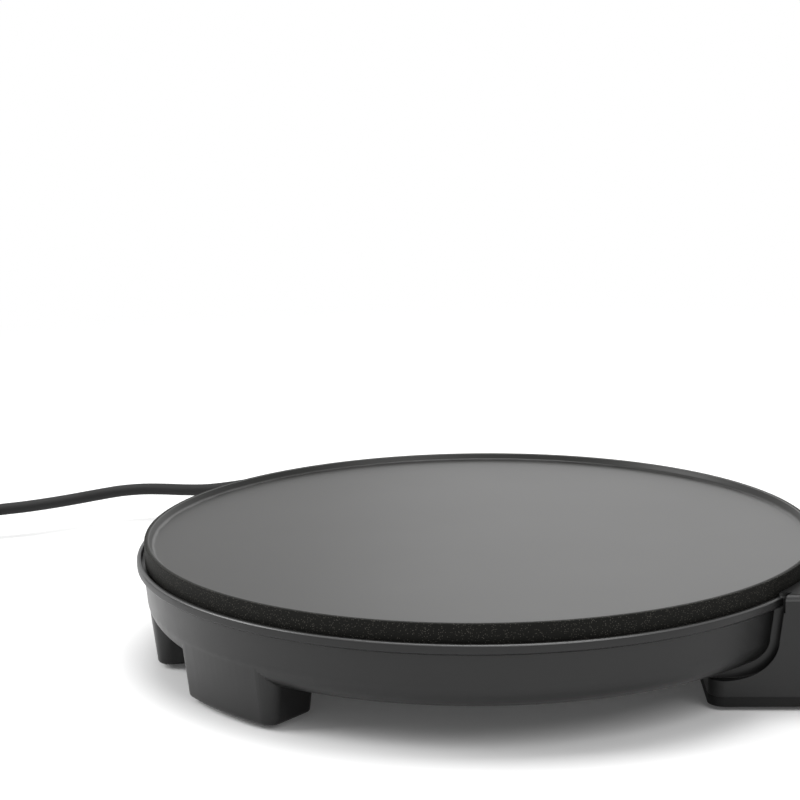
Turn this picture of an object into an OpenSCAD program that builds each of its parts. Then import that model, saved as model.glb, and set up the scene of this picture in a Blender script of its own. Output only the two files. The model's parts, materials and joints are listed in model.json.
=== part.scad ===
// Electric crepe maker: a round cast plate on a low moulded housing, which stands
// on hollow legs and a control box with a thermostat knob on its end.
// Millimetres, +Z up, table at z = 0. +X runs from the plate to the control box,
// and the origin is the middle of the footprint on the table, without the lead.

/* [Cooking plate] */
// Diameter of the cast plate over its rim
plate_d = 329; // [310:1:345]
// Thickness of the plate under the cooking surface
plate_web = 6; // [5:0.1:6.5]
// Height of the rim above the cooking surface
rim_rise = 3; // [2:0.5:4]
// Width of the rim's flat top
rim_top = 2.5; // [1.5:0.5:4]
// Height of the plate's side
plate_side = 10; // [9:0.5:11]
// Height of the rim above the housing's lip
plate_proud = 8.2; // [7.4:0.1:9]
// Gap all round between the plate's side and the lip
plate_gap = 1.8; // [1.2:0.1:2.4]

/* [Heating] */
// Radius of the ring that the heating element runs on
element_ring_r = 105; // [100:1:112]
// Diameter of the heating element's sheath
element_d = 7; // [6:0.1:8.5]
// Drop from the plate's underside to the top of the heat shield
shield_drop = 12.4; // [11:0.2:13.5]
// Thickness of the heat shield's sheet
shield_t = 0.8; // [0.6:0.1:1.5]
// Radius of the heat shield
shield_r = 136; // [132:1:138]
// Height of the ceramic spacers under the shield
spacer_h = 4; // [3:0.5:5]
// Radius of the circle of the plate's three fixing screws
fixing_r = 84; // [76:1:87]

/* [Housing] */
// Height of the dish's underside above the table
leg_h = 20; // [17:0.5:26]
// Height of the dish from its underside to the lip
dish_h = 32; // [31:0.5:38]
// Wall thickness of the moulding
wall = 2.4; // [2:0.1:3]
// How far the lip stands out past the plate's side
lip_out = 3.8; // [3.2:0.1:6]
// Height of the lip's band
lip_band = 5.4; // [4.5:0.1:6.5]
// Radius of the dish's bottom edge
dish_round = 13; // [10:0.5:15]
// Angle of the dish's rim that a leg's foot takes
leg_span = 22; // [18:1:25]
// The same for the wide leg opposite the control box
wide_leg_span = 29; // [24:1:32]
// Distance of the legs' inner ends from the plate's axis
leg_in_r = 125; // [118:1:128]
// Angle between the wide leg and its two neighbours
leg_angle = 43; // [40:0.5:46]
// Height of the gap under the legs and the box, taken up by the rubber pads
pad_lift = 2; // [1.5:0.5:3]
// Diameter of the rubber pads
pad_d = 17; // [12:1:20]

/* [Control box] */
// Distance of the box's front wall from the plate's axis
box_front = 104; // [98:1:110]
// Distance of the box's back wall from the plate's axis
box_back = 45; // [42:1:50]
// How far the box reaches past the lip
box_past = 44; // [42:1:60]
// Distance of the box's inner wall from the plate's axis
box_in_x = 103; // [98:1:108]
// Height of the box's top above the lip
box_rise = 2; // [1:0.5:4]
// Height of the bottom cover's side
cover_h = 4.6; // [4:0.1:7]
// Width of the groove between the dish and the box's front
groove_w = 5.8; // [4:0.2:7]
// Depth of that groove
groove_deep = 5; // [3:0.5:7]
// Diameter of the knob's skirt
knob_d = 40; // [30:1:44]
// Height of the knob from the panel
knob_h = 17; // [14:0.5:22]
// Distance of the nearer pilot lamp from the knob's axis
lamp_y = 46; // [43:1:50]
// Diameter of a pilot lamp's lens
lamp_d = 8; // [6:0.5:10]
// Diameter of the thermostat's shaft
shaft_d = 6; // [5:0.1:7]

/* [Mains lead] */
// Diameter of the lead
cord_d = 7; // [6:0.1:8]
// Direction of the lead's exit, counted from the control box
exit_az = 115; // [113:1:117]
// Length of the strain relief's taper
boot_len = 36; // [25:1:50]

/* [Hidden] */

$fn = 64;
seat = 0.3;          // clearance of a curved piece in its seat
run_fit = 0.05;      // radial clearance of a shaft or screw in its hole
eps = 0.05;          // overlap that joins two shapes of one piece

// Heights, from the table up
lip_z = leg_h + dish_h;
crest_z = lip_z + plate_proud;            // top of the plate's rim
cook_z = crest_z - rim_rise;
under_z = cook_z - plate_web;             // plate's underside
skirt_z = crest_z - plate_side;           // lower end of its side
ledge_z = skirt_z - 1.6;                  // housing's ledge below it
band_z = lip_z - lip_band;                // lower edge of the lip's band
floor_z = leg_h + wall;                   // dish's inner floor
shield_top = under_z - shield_drop;
shield_z = shield_top - shield_t;
post_z = shield_z - spacer_h;             // top of the housing's posts
box_z = lip_z + box_rise;
seam_z = pad_lift + cover_h;              // joint between box and cover
panel_z = (pad_lift + box_z) / 2;         // height of the knob's axis

// Radii and reaches, from the plate's axis out
plate_r = plate_d / 2;
lip_r = plate_r + lip_out;
neck_r = lip_r - 2.8;                     // under the lip's band
wall_r = neck_r - 0.3;                    // top of the dish's wall
dish_r = wall_r - 1.3;                    // foot of the wall, and top of the legs
box_x = lip_r + box_past;                 // outer face of the control panel
panel_t = 3.2;
panel_in = box_x - panel_t;
plate_x = (lip_r - box_x - knob_h) / 2;   // plate's axis in the part's frame

// Everything below is drawn about the plate's axis
module on_axis() {
    translate([plate_x, 0, 0])
        children();
}

module at_polar(r, az) {
    rotate([0, 0, az])
        translate([r, 0, 0])
            children();
}

// Convex outline round circles [x, y, r], listed anticlockwise
module round_outline(c) {
    n = len(c);
    for (k = c)
        translate([k[0], k[1]])
            circle(k[2]);
    polygon([
        for (i = [0 : n - 1])
            let (
                j = (i + 1) % n,
                d = [c[j][0] - c[i][0], c[j][1] - c[i][1]],
                l = norm(d),
                a = atan2(d[1], d[0]) - 90 + asin((c[i][2] - c[j][2]) / l)
            )
            for (k = [c[i], c[j]])
                [k[0] + (k[2] - 0.01) * cos(a), k[1] + (k[2] - 0.01) * sin(a)]
    ]);
}

// Ring of points at height z round an outline of arcs [x, y, r, from, to], d inside it
function arc_ring(arcs, d, z, n) = [
    for (c = arcs, k = [0 : n])
        let (a = c[3] + (c[4] - c[3]) * k / n)
        [c[0] + (c[2] - d) * cos(a), c[1] + (c[2] - d) * sin(a), z]
];

// Heights and insets of a rounded lower or upper edge of radius r at height z
function low_edge(z, r) = [
    for (t = [0 : 22.5 : 90])
        [z + r * (1 - cos(t)), r * (1 - sin(t))]
];
function top_edge(z, r) = [
    for (t = [0 : 22.5 : 90])
        [z - r * (1 - sin(t)), r * (1 - cos(t))]
];

// Solid through rings that run anticlockwise and follow one another upwards
module ring_solid(rings) {
    n = len(rings[0]);
    m = len(rings);
    top = (m - 1) * n;
    sides = [
        for (i = [0 : m - 2], k = [0 : n - 1])
            let (
                a = i * n + k,
                b = i * n + (k + 1) % n
            )
            each [[a, a + n, b], [b, a + n, b + n]]
    ];
    caps = [
        for (k = [1 : n - 2])
            each [[0, k, k + 1], [top, top + k + 1, top + k]]
    ];
    polyhedron([for (r = rings) each r], concat(sides, caps));
}

// ---- Tubes swept along points ----
function unit(v) = v / norm(v);
function ahead(p, i) = unit(p[min(i + 1, len(p) - 1)] - p[max(i - 1, 0)]);
function ring(c, t, r, n, up) =
    let (
        side = unit(cross(t, up)),
        top = cross(side, t)
    )
    [for (k = [0 : n - 1])
        c + r * (cos(360 * (k + 0.5) / n) * side + sin(360 * (k + 0.5) / n) * top)];
function path_length(p) = len(p) < 2 ? 0 : norm_sum(p, 1, 0);
function norm_sum(p, i, s) = i >= len(p) ? s : norm_sum(p, i + 1, s + norm(p[i] - p[i - 1]));

// first and last give the tube's direction where its ends meet something
module tube(p, r, n = 8, up = [0, 0, 1], first = undef, last = undef) {
    m = len(p);
    points = [
        for (i = [0 : m - 1])
            let (t = i == 0 && first != undef ? first
                : i == m - 1 && last != undef ? last : ahead(p, i))
            each ring(p[i], t, r, n, up)
    ];
    sides = [
        for (i = [0 : m - 2], k = [0 : n - 1])
            let (
                a = i * n + k,
                b = i * n + (k + 1) % n
            )
            each [[a, b, a + n], [b, b + n, a + n]]
    ];
    caps = [
        for (k = [1 : n - 2])
            each [[0, k + 1, k], [(m - 1) * n, (m - 1) * n + k, (m - 1) * n + k + 1]]
    ];
    polyhedron(points, concat(sides, caps));
}

// ---- Cooking plate ----
boss_d = 13;
screw_d = 4;
rib_t = 2;                                // walls of the element's channel
channel_h = 4.6;
clip_boss_r = element_ring_r - element_d / 2 - rib_t - 8;
clip_angles = [45, 135, 225, 315];
fixing_angles = [60, 180, 300];
clip_z = under_z - element_d - 0.2;       // top of the clips

module rim_profile() {
    slope = 1;
    foot = 1.6;                           // radius of the hollow at the rim's foot
    skirt = 5;
    inner = plate_r - rim_top - slope;
    polygon([
        [0, under_z], [plate_r - skirt, under_z], [plate_r - skirt, skirt_z],
        [plate_r - 0.6, skirt_z], [plate_r, skirt_z + 0.6],
        [plate_r, crest_z - 0.5], [plate_r - 0.15, crest_z - 0.15],
        [plate_r - 0.5, crest_z], [plate_r - rim_top + 0.3, crest_z],
        [plate_r - rim_top, crest_z - 0.2], [inner, cook_z + foot * 0.6],
        [inner - foot * 0.3, cook_z + foot * 0.2], [inner - foot, cook_z], [0, cook_z]
    ]);
}

module channel_rib(r) {
    difference() {
        translate([0, 0, under_z - channel_h])
            cylinder(h = channel_h + eps, r = r + rib_t);
        translate([0, 0, under_z - channel_h - 1])
            cylinder(h = channel_h + 1, r = r);
        // open towards the control box, where the element turns down
        translate([0, -element_ring_r * 0.36, under_z - channel_h - 1])
            cube([element_ring_r * 1.2, element_ring_r * 0.72, channel_h + 1]);
    }
}

module griddle_plate() {
    on_axis() color("dimgray")
        difference() {
            union() {
                rotate_extrude($fn = 180)
                    rim_profile();
                channel_rib(element_ring_r - element_d / 2 - rib_t - seat);
                channel_rib(element_ring_r + element_d / 2 + seat);
                for (a = fixing_angles)
                    at_polar(fixing_r, a)
                        translate([0, 0, shield_top])
                            cylinder(h = shield_drop + eps, d = boss_d);
                for (a = clip_angles)
                    at_polar(clip_boss_r, a)
                        translate([0, 0, clip_z])
                            cylinder(h = under_z - clip_z + eps, d = 8);
                earth_boss();
            }
            for (a = fixing_angles)
                at_polar(fixing_r, a)
                    translate([0, 0, shield_top - 1])
                        cylinder(h = shield_drop, d = screw_d + 2 * run_fit);
            for (a = clip_angles)
                at_polar(clip_boss_r, a)
                    translate([0, 0, clip_z - 1])
                        cylinder(h = under_z - clip_z, d = 3 + 2 * run_fit);
            translate([bulb_clip_x, bulb_clip_y, under_z - 1])
                cylinder(h = 5, d = 3 + 2 * run_fit);
            at_polar(earth_r, earth_az)
                translate([0, 0, earth_z - 1])
                    cylinder(h = under_z - earth_z, d = 3 + 2 * run_fit);
        }
}

// ---- Heating element ----
element_z = under_z - element_d / 2 - 0.1;
element_end = 16;                         // half the ring's gap, in degrees
element_bend = 10;
element_foot = 6;                         // straight end below the bend
pin_len = 4;

element_side = [
    for (a = [0 : 15 : 90])
        [element_bend * sin(a), element_bend * (cos(a) - 1)]
];
// From the foot on side s up to the ring, as [x, y, z]
function element_rise(s) =
    let (
        a = s * element_end,
        at = element_ring_r * [cos(a), sin(a)],
        along = s * [sin(a), -cos(a)]
    )
    concat(
        [for (p = element_side)
            [at[0] + p[0] * along[0], at[1] + p[0] * along[1], element_z + p[1]]],
        [[
            at[0] + element_bend * along[0], at[1] + element_bend * along[1],
            element_z - element_bend - element_foot
        ]]
    );
function flip(p) = [for (i = [len(p) - 1 : -1 : 0]) p[i]];
element_arc = [
    for (k = [1 : 59])
        let (a = element_end + (360 - 2 * element_end) * k / 60)
        [element_ring_r * cos(a), element_ring_r * sin(a), element_z]
];
element_route = concat(flip(element_rise(1)), element_arc, element_rise(-1));

module heating_element() {
    on_axis() color("gainsboro") {
        tube(element_route, element_d / 2, 10, up = [0.01, 0, 1]);
        for (s = [1, -1])
            terminal_at(s) {
                translate([0, 0, element_z - element_bend - element_foot - pin_len])
                    cylinder(h = pin_len + 1, d = 3);
                translate([-0.4, -3.15, tab_z - 3])
                    cube([0.8, 6.3, 6]);
            }
    }
}

clip_t = 1;
module element_clips() {
    reach = element_ring_r + element_d / 2 + rib_t - clip_boss_r;
    on_axis() color("silver")
        for (a = clip_angles)
            at_polar(clip_boss_r, a)
                translate([0, 0, clip_z - clip_t])
                    difference() {
                        union() {
                            cylinder(h = clip_t, d = 10);
                            translate([0, -5, 0])
                                cube([reach, 10, clip_t]);
                        }
                        translate([0, 0, -1])
                            cylinder(h = clip_t + 2, d = 3.4);
                    }
}

// Screw with its head down: shank from head_z up to tip_z
module screw(d, head_d, head_h, head_z, tip_z) {
    translate([0, 0, head_z - head_h])
        difference() {
            union() {
                cylinder(h = head_h, d = head_d);
                cylinder(h = tip_z - head_z + head_h, d = d);
            }
            for (a = [0, 90])
                rotate([0, 0, a])
                    translate([-head_d * 0.3, -0.4, -1])
                        cube([head_d * 0.6, 0.8, 1 + head_h * 0.45]);
        }
}

module clip_screws() {
    on_axis() color("silver") {
        for (a = clip_angles)
            at_polar(clip_boss_r, a)
                screw(3, 6, 2, clip_z - clip_t, under_z - 2);
        translate([bulb_clip_x, bulb_clip_y, 0])
            screw(3, 6, 2, under_z - 1.3, under_z + 3.5);
    }
}

// ---- Heat shield ----
terminal_hole = element_d + 5;
sensor_hole_x = 84;
module heat_shield() {
    rim_h = shield_drop - 3.4;
    on_axis() color("lightgray")
        difference() {
            translate([0, 0, shield_z]) {
                cylinder(h = shield_t, r = shield_r, $fn = 120);
                difference() {
                    cylinder(h = rim_h, r = shield_r, $fn = 120);
                    translate([0, 0, -1])
                        cylinder(h = rim_h + 2, r = shield_r - shield_t, $fn = 120);
                }
            }
            for (a = fixing_angles)
                at_polar(fixing_r, a)
                    translate([0, 0, shield_z - 1])
                        cylinder(h = shield_t + 2, d = screw_d + 0.4);
            for (s = [1, -1])
                terminal_at(s)
                    translate([0, 0, shield_z - 1])
                        cylinder(h = shield_t + 2, d = terminal_hole);
            translate([sensor_hole_x, 0, shield_z - 1])
                cylinder(h = shield_t + 2, d = 7);
            at_polar(earth_r, earth_az)
                translate([0, 0, shield_z - 1])
                    cylinder(h = shield_t + 2, d = 12);
            translate([fuse_x + 7, fuse_y - fuse_d / 2 - 6, shield_z - 1])
                cylinder(h = shield_t + 2, d = 3.2);
        }
}

// Stands at the foot of the element's end on side s
module terminal_at(s) {
    rotate([0, 0, s * element_end])
        translate([element_ring_r, -s * element_bend, 0])
            children();
}

module shield_spacers() {
    on_axis() color("ivory")
        for (a = fixing_angles)
            at_polar(fixing_r, a)
                translate([0, 0, post_z])
                    difference() {
                        cylinder(h = spacer_h, d = boss_d);
                        translate([0, 0, -1])
                            cylinder(h = spacer_h + 2, d = screw_d + 0.4);
                    }
}

head_well_h = 10;                         // how deep the screw heads lie in the underside
module plate_screws() {
    on_axis() color("silver")
        for (a = fixing_angles)
            at_polar(fixing_r, a)
                screw(screw_d, 7.6, 3, leg_h + head_well_h, under_z - 2.5);
}

// ---- Housing ----
// Outline of the dish's section, drawn dx inside the outer face
module dish_section(dx) {
    translate([dish_r - dish_round, leg_h + dish_round])
        circle(dish_round - dx);
    polygon([
        [0, leg_h + dx], [dish_r - dish_round, leg_h + dx],
        [dish_r - dish_round, leg_h + dish_round],
        [dish_r - dx, leg_h + dish_round], [wall_r - dx, band_z - 0.9],
        [wall_r - dx, band_z], [0, band_z]
    ]);
}

module dish_solid() {
    rotate_extrude($fn = 180) {
        dish_section(0);
        polygon([
            [0, band_z - eps], [neck_r, band_z - eps], [neck_r, band_z],
            [lip_r - 0.5, band_z + 0.9], [lip_r, band_z + 1.5], [lip_r, lip_z - 1],
            [lip_r - 0.25, lip_z - 0.4], [lip_r - 0.8, lip_z], [0, lip_z]
        ]);
    }
}

well_r = plate_r + plate_gap;             // inner face of the lip
ledge_in_r = plate_r - 7;                 // inner edge of the ledge under the plate
module dish_hollow() {
    rotate_extrude($fn = 180) {
        difference() {
            dish_section(wall);
            translate([0, ledge_z - wall])
                square([dish_r * 2, lip_band + 9]);
        }
        translate([0, floor_z + 1])
            square([ledge_in_r, ledge_z - floor_z]);
        translate([0, ledge_z])
            square([well_r, lip_z - ledge_z + box_rise + 1]);
    }
}

// What the legs and the box leave free: the dish up to the middle of its wall
module dish_core() {
    rotate_extrude($fn = 180) {
        dish_section(wall / 2);
        translate([0, band_z - 1])
            square([wall_r - wall / 2, lip_band - 0.5]);
        translate([0, lip_z - 1.5 - eps])
            square([well_r + 0.5, box_rise + 4]);
    }
}

leg_round = 10;                           // outer corners of a leg
leg_in_round = 8;                         // inner corners
leg_draft = 3.6;                          // how much a leg narrows down to its foot
leg_edge = 2;                             // rounding of its foot
leg_sink = leg_draft + leg_edge;
leg_plans = [
    [180, wide_leg_span / 2], [180 - leg_angle, leg_span / 2],
    [180 + leg_angle, leg_span / 2], [leg_angle, leg_span / 2]
];
leg_angles = [for (l = leg_plans) l[0]];

// Plan of a leg about +X at its top: outer face, and outer and inner corners. Its sides
// stand off the dish's radii at +h and -h so far that the foot's sides lie on them.
function leg_arcs(h) =
    let (
        reach = dish_r - leg_round,
        a = h + asin((leg_sink - leg_round) / reach),
        x = leg_in_r + leg_in_round,
        y = (leg_sink - leg_in_round + sin(h) * x) / cos(h)
    )
    [
        [0, 0, dish_r, -0.7 * a, 0.7 * a],
        [reach * cos(a), reach * sin(a), leg_round, a, 90 + h],
        [x, y, leg_in_round, 90 + h, 180],
        [x, -y, leg_in_round, 180, 270 - h],
        [reach * cos(a), -reach * sin(a), leg_round, 270 - h, 360 - a]
    ];

module legs(levels, n) {
    for (l = leg_plans)
        rotate([0, 0, l[0]])
            ring_solid([for (v = levels) arc_ring(leg_arcs(l[1]), v[1], v[0], n)]);
}

module leg_bodies() {
    top = leg_h + dish_round;
    legs(concat(
        [for (l = low_edge(pad_lift, leg_edge)) [l[0], l[1] + leg_draft]],
        [[top, 0.3]]
    ), 8);
}

module leg_hollows() {
    legs([
        [pad_lift + wall + pad_sunk, wall + leg_draft],
        [floor_z + 1, wall + leg_draft / 3]
    ], 4);
}

box_round = 8;                            // corners under the dish
box_end_round = 20;                       // corners at the panel
box_edge = 2.5;                           // rounding of the top edge
box_arcs = [
    [box_x - box_end_round, box_back - box_end_round, box_end_round, 0, 90],
    [box_in_x + box_round, box_back - box_round, box_round, 90, 180],
    [box_in_x + box_round, -box_front + box_round, box_round, 180, 270],
    [box_x - box_end_round, -box_front + box_end_round, box_end_round, 270, 360]
];
module box_plan(dx) {
    round_outline([for (i = [1, 2, 3, 0])
        let (c = box_arcs[i]) [c[0], c[1], c[2] - dx]]);
}

// Cuts what lies on the dish's side of the panel's inner face, less a clearance
module behind_panel(clear) {
    intersection() {
        children();
        translate([0, -200])
            square([panel_in - clear, 400]);
    }
}

// Radius of the dish's outer face at height z
function dish_at(z) =
    z < leg_h + dish_round
    ? dish_r - dish_round + sqrt(max(0, dish_round ^ 2 - (leg_h + dish_round - z) ^ 2))
    : dish_r + (wall_r - dish_r) * min(1, (z - leg_h - dish_round)
        / (band_z - 0.9 - leg_h - dish_round));

// The dish grown by g, in front of the plane at depth d behind the box's front wall
module dish_grown(g, d) {
    intersection() {
        rotate_extrude($fn = 180) {
            dish_section(-g);
            translate([0, band_z - 1])
                square([wall_r + g + 0.5, lip_band + 15]);
        }
        translate([box_in_x - 10, -box_front - 10, 0])
            cube([80, d + 10, box_z + 10]);
    }
}

post_d = 13;
cover_posts = [
    for (x = [box_in_x + 13, box_x - 14])
        for (y = [box_back - 14, 14 - box_front])
            [x, y]
];

module box_shell() {
    difference() {
        ring_solid([
            for (l = concat([[seam_z, 0]], top_edge(box_z, box_edge)))
                arc_ring(box_arcs, l[1], l[0], 9)
        ]);
        difference() {
            translate([0, 0, seam_z - 1])
                linear_extrude(box_z - wall - seam_z + 1)
                    behind_panel(0)
                        box_plan(wall);
            dish_grown(groove_w + wall, groove_deep + wall);
        }
        dish_grown(groove_w, groove_deep);
    }
}

module housing_posts() {
    for (a = fixing_angles)
        at_polar(fixing_r, a)
            translate([0, 0, leg_h + eps])
                cylinder(h = post_z - leg_h - eps, d = post_d);
    for (p = cover_posts)
        translate([p[0], p[1], seam_z])
            cylinder(h = (norm(p) < dish_r ? leg_h + 1 : box_z - wall + 1) - seam_z, d = 8);
    // ribs under the heat shield
    for (a = [30 : 60 : 330])
        rotate([0, 0, a])
            translate([24, -1, leg_h + 1])
                cube([fixing_r + 4, 2, wall + 4]);
    clamp_saddle();
}

module housing_cuts() {
    // way for the wires from the dish into the box
    translate([box_in_x + 40, -45, floor_z + 2])
        cube([dish_r - box_in_x - 34, box_back + 38, band_z - floor_z - 5]);
    for (a = fixing_angles)
        at_polar(fixing_r, a)
            translate([0, 0, leg_h - 1]) {
                cylinder(h = head_well_h + 1, d = 9);
                cylinder(h = post_z, d = screw_d + 0.4);
            }
    for (a = leg_angles)
        at_polar(pad_ring_r, a)
            translate([0, 0, pad_lift - 1])
                cylinder(h = 1 + pad_sunk, d = pad_d + 2 * seat);
    for (p = cover_posts)
        translate([p[0], p[1], seam_z - 1])
            cylinder(h = 11, d = 3 + 2 * run_fit);
    // panel: dial recess, thermostat neck and screws, and lamps
    translate([box_x, 0, panel_z])
        rotate([0, 90, 0]) {
            translate([0, 0, -dial_depth])
                cylinder(h = 5, d = dial_d);
            translate([0, 0, -panel_t - 1])
                cylinder(h = panel_t + 2, d = neck_d + 2 * seat);
            for (s = [1, -1])
                translate([0, s * thermo_screw_y, 0]) {
                    translate([0, 0, -panel_t - 1])
                        cylinder(h = panel_t, d = 4.3);
                    translate([0, 0, -dial_depth - 1.7])
                        cylinder(h = 1.75, d1 = 4, d2 = 7.6);
                }
            for (y = lamp_ys)
                translate([0, y, -panel_t - 1])
                    cylinder(h = panel_t + 2, d = lamp_d + 0.2);
        }
    at_exit(0)
        translate([0, 0, -20])
            cylinder(h = 40, d = boot_neck_d + 2 * run_fit);
    clamp_holes();
}

// The moulding before its holes are made
module housing_shell() {
    difference() {
        dish_solid();
        dish_hollow();
    }
    difference() {
        union() {
            leg_bodies();
            box_shell();
        }
        dish_core();
    }
}

module base_housing() {
    on_axis() color([0.22, 0.22, 0.22])
        difference() {
            union() {
                housing_shell();
                housing_posts();
            }
            leg_hollows();
            housing_cuts();
        }
}

module box_cover() {
    lip_w = 1.8;                          // spigot that centres the cover in the box
    on_axis() color([0.12, 0.12, 0.12])
        difference() {
            union() {
                difference() {
                    union() {
                        translate([0, 0, pad_lift])
                            linear_extrude(cover_h)
                                box_plan(0);
                        translate([0, 0, pad_lift + wall])
                            linear_extrude(cover_h - wall + 2)
                                behind_panel(run_fit)
                                    box_plan(wall + run_fit);
                    }
                    translate([0, 0, pad_lift + wall])
                        linear_extrude(cover_h + 5)
                            behind_panel(run_fit + lip_w)
                                box_plan(wall + run_fit + lip_w);
                    for (p = cover_posts)
                        translate([p[0], p[1], seam_z])
                            cylinder(h = 20, d = 8.6);
                }
                for (p = cover_posts)
                    translate([p[0], p[1], pad_lift + 1])
                        cylinder(h = cover_h - 1.02, d = 9.5);
            }
            for (p = cover_posts)
                translate([p[0], p[1], pad_lift - 1]) {
                    cylinder(h = 10, d = 3.4);
                    cylinder(h = 3.1, d = 6.6);
                }
            for (p = box_pads)
                translate([p[0], p[1], pad_lift - 1])
                    cylinder(h = 1 + pad_sunk, d = pad_d + 2 * seat);
        }
}

module cover_screws() {
    on_axis() color("dimgray")
        for (p = cover_posts)
            translate([p[0], p[1], 0])
                screw(3, 6, 1.8, pad_lift + 2.1, seam_z + 8);
}

// ---- Rubber feet ----
pad_sunk = 1;
pad_ring_r = dish_r - 20;
box_pads = [for (y = [box_back - 18, 18 - box_front]) [box_x - 32, y]];

module pad() {
    rotate_extrude()
        polygon([
            [0, 0], [pad_d / 2 - 1, 0], [pad_d / 2, 1],
            [pad_d / 2, pad_lift + pad_sunk], [0, pad_lift + pad_sunk]
        ]);
}

module rubber_feet() {
    on_axis() color([0.08, 0.08, 0.08]) {
        for (a = leg_angles)
            at_polar(pad_ring_r, a)
                pad();
        for (p = box_pads)
            translate([p[0], p[1], 0])
                pad();
    }
}

// ---- Knob and thermostat ----
dial_d = knob_d + 14;
dial_depth = 1.2;
neck_d = 10;                              // thermostat's neck in the panel
thermo_screw_y = 14;
knob_gap = 0.6;                           // knob over the dial's floor
knob_foot = dial_depth - knob_gap;        // depth of the knob's underside in the recess
shaft_back = panel_t + 14;                // shaft's inner end, behind the panel's face

// Draws along the knob's axis: z = 0 is the panel's outer face
module on_panel() {
    on_axis()
        translate([box_x, 0, panel_z])
            rotate([0, 90, 0])
                children();
}

knob_off = 135;                           // turns the pointer to the off mark
shaft_flat = shaft_d / 2 - 1;             // distance of the shaft's flat from its axis

module control_knob() {
    grip_d = knob_d - 8;
    hub_z = knob_h - 3;
    color([0.1, 0.1, 0.1]) on_panel() rotate([0, 0, knob_off])
        difference() {
            union() {
                translate([0, 0, -knob_foot])
                    cylinder(h = 3, d = knob_d);
                translate([0, 0, -knob_foot])
                    rotate_extrude()
                        polygon([
                            [0, 0], [grip_d / 2 + 1.5, 0], [grip_d / 2, knob_h - 2],
                            [grip_d / 2 - 1.6, knob_h + knob_foot], [0, knob_h + knob_foot]
                        ]);
            }
            // finger flutes
            for (a = [10 : 20 : 350])
                rotate([0, 0, a])
                    translate([grip_d / 2 + 1.1, 0, 3.4 - knob_foot])
                        cylinder(h = knob_h, d = 4, $fn = 24);
            // hollow underside round the hub
            translate([0, 0, -knob_foot - 1])
                difference() {
                    cylinder(h = knob_h - 2, d = grip_d - 6);
                    cylinder(h = knob_h, d = shaft_d + 6);
                }
            // bore with a flat, for the shaft
            difference() {
                translate([0, 0, -knob_foot - 1])
                    cylinder(h = hub_z + knob_foot + 1, d = shaft_d + 2 * run_fit);
                translate([shaft_flat + run_fit, -shaft_d, 1])
                    cube([shaft_d, 2 * shaft_d, knob_h]);
            }
            // slot of the pointer
            translate([-grip_d / 2 + 1, -pointer_w / 2 - run_fit, knob_h - 1])
                cube([pointer_len + run_fit, pointer_w + 2 * run_fit, 2]);
        }
}

pointer_w = 1.8;
pointer_len = 10;
module knob_pointer() {
    color("white") on_panel() rotate([0, 0, knob_off])
        translate([-(knob_d - 8) / 2 + 1 + run_fit, -pointer_w / 2, knob_h - 1])
            cube([pointer_len - run_fit, pointer_w, 1]);
}

module thermostat_shaft() {
    color("silver") on_panel() rotate([0, 0, knob_off])
        difference() {
            translate([0, 0, -shaft_back])
                cylinder(h = shaft_back + knob_h - 4, d = shaft_d);
            translate([shaft_flat, -shaft_d, 0.8])
                cube([shaft_d, 2 * shaft_d, knob_h]);
        }
}

thermo_w = 36;
thermo_h = 30;
thermo_len = 24;
module thermostat_body() {
    color("tan") on_panel()
        difference() {
            union() {
                translate([-thermo_h / 2, -thermo_w / 2, -panel_t - thermo_len])
                    cube([thermo_h, thermo_w, thermo_len]);
                translate([0, 0, -panel_t - 1])
                    cylinder(h = panel_t + 1 - dial_depth - 0.2, d = neck_d);
                for (s = [1, -1])
                    translate([-4, s * 9 - 0.4, -panel_t - thermo_len - 6])
                        cube([6.3, 0.8, 7]);
            }
            translate([0, 0, -shaft_back - 0.2])
                cylinder(h = shaft_back + 1, d = shaft_d + 2 * run_fit);
            for (s = [1, -1])
                translate([0, s * thermo_screw_y, -panel_t - 10])
                    cylinder(h = 11, d = 4 + 2 * run_fit);
        }
}

module thermostat_screws() {
    color("silver") on_panel()
        for (s = [1, -1])
            translate([0, s * thermo_screw_y, 0])
                difference() {
                    union() {
                        translate([0, 0, -panel_t - 8])
                            cylinder(h = panel_t + 8 - dial_depth, d = 4);
                        translate([0, 0, -dial_depth - 1.7])
                            cylinder(h = 1.65, d1 = 4, d2 = 7.2);
                    }
                    for (a = [0, 90])
                        rotate([0, 0, a])
                            translate([-2, -0.4, -dial_depth - 0.8])
                                cube([4, 0.8, 2]);
                }
}

// Sensing bulb under the plate, with its capillary to the thermostat
bulb_d = 6;
bulb_x0 = 12;
bulb_x1 = 72;
bulb_z = under_z - bulb_d / 2 - 0.2;
bulb_clip_x = 40;
bulb_clip_y = bulb_d / 2 + 6;
thermo_back = panel_in - thermo_len;      // thermostat's rear face
module thermostat_sensor() {
    capillary = [
        [bulb_x1 - 1, 0, bulb_z], [bulb_x1 + 5, 0, bulb_z],
        [sensor_hole_x - 3, 0, bulb_z - 2], [sensor_hole_x, 0, bulb_z - 6],
        [sensor_hole_x, 0, shield_z - 1], [sensor_hole_x + 2, 0, shield_z - 5],
        [sensor_hole_x + 8, 0, floor_z + 8], [sensor_hole_x + 20, 0, floor_z + 8],
        [box_in_x + 30, 0, floor_z + 9], [dish_r - 14, 0, floor_z + 11],
        [dish_r + 4, 0, panel_z + 6], [thermo_back - 8, 0, panel_z + 8],
        [thermo_back - 0.1, 0, panel_z + 8]
    ];
    on_axis() color("peru") {
        translate([bulb_x0, 0, bulb_z])
            rotate([0, 90, 0])
                cylinder(h = bulb_x1 - bulb_x0, d = bulb_d, $fn = 32);
        tube(capillary, 1, 8, up = [0, 1, 0], last = [1, 0, 0]);
    }
}

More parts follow.
